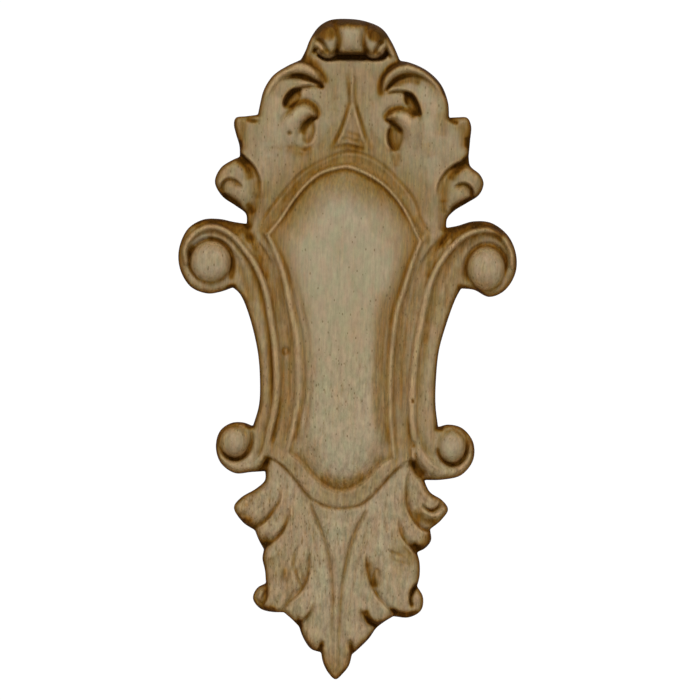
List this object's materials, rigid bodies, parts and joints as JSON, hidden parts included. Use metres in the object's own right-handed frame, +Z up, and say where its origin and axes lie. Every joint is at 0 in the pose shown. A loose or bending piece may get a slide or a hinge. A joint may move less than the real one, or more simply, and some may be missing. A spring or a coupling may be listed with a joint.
{
  "type": "carved wall plaque",
  "caption": "Tall shield-shaped carved wooden applique: domed oval field in a moulded frame, scrolled side stems with balls, leaf crest above and acanthus leaf below.",
  "frame": {"origin": "middle of the flat back, halfway between the top of the knob and the tip of the leaf, which is where the plaque is glued or hung on a wall or panel", "axes": "+Z up along the plaque's long axis; +Y out of the flat back into the wall, so the carved face looks along -Y; +X to the right as seen from the front"},
  "size_m": [0.1282, 0.0167, 0.25],
  "materials": {
    "glazed_wood": "matt pale hardwood, brown glaze left in the hollows and wiped off the high spots"
  },
  "bodies": {
    "root": {"shield_plaque": "glazed_wood"}
  },
  "joints": []
}
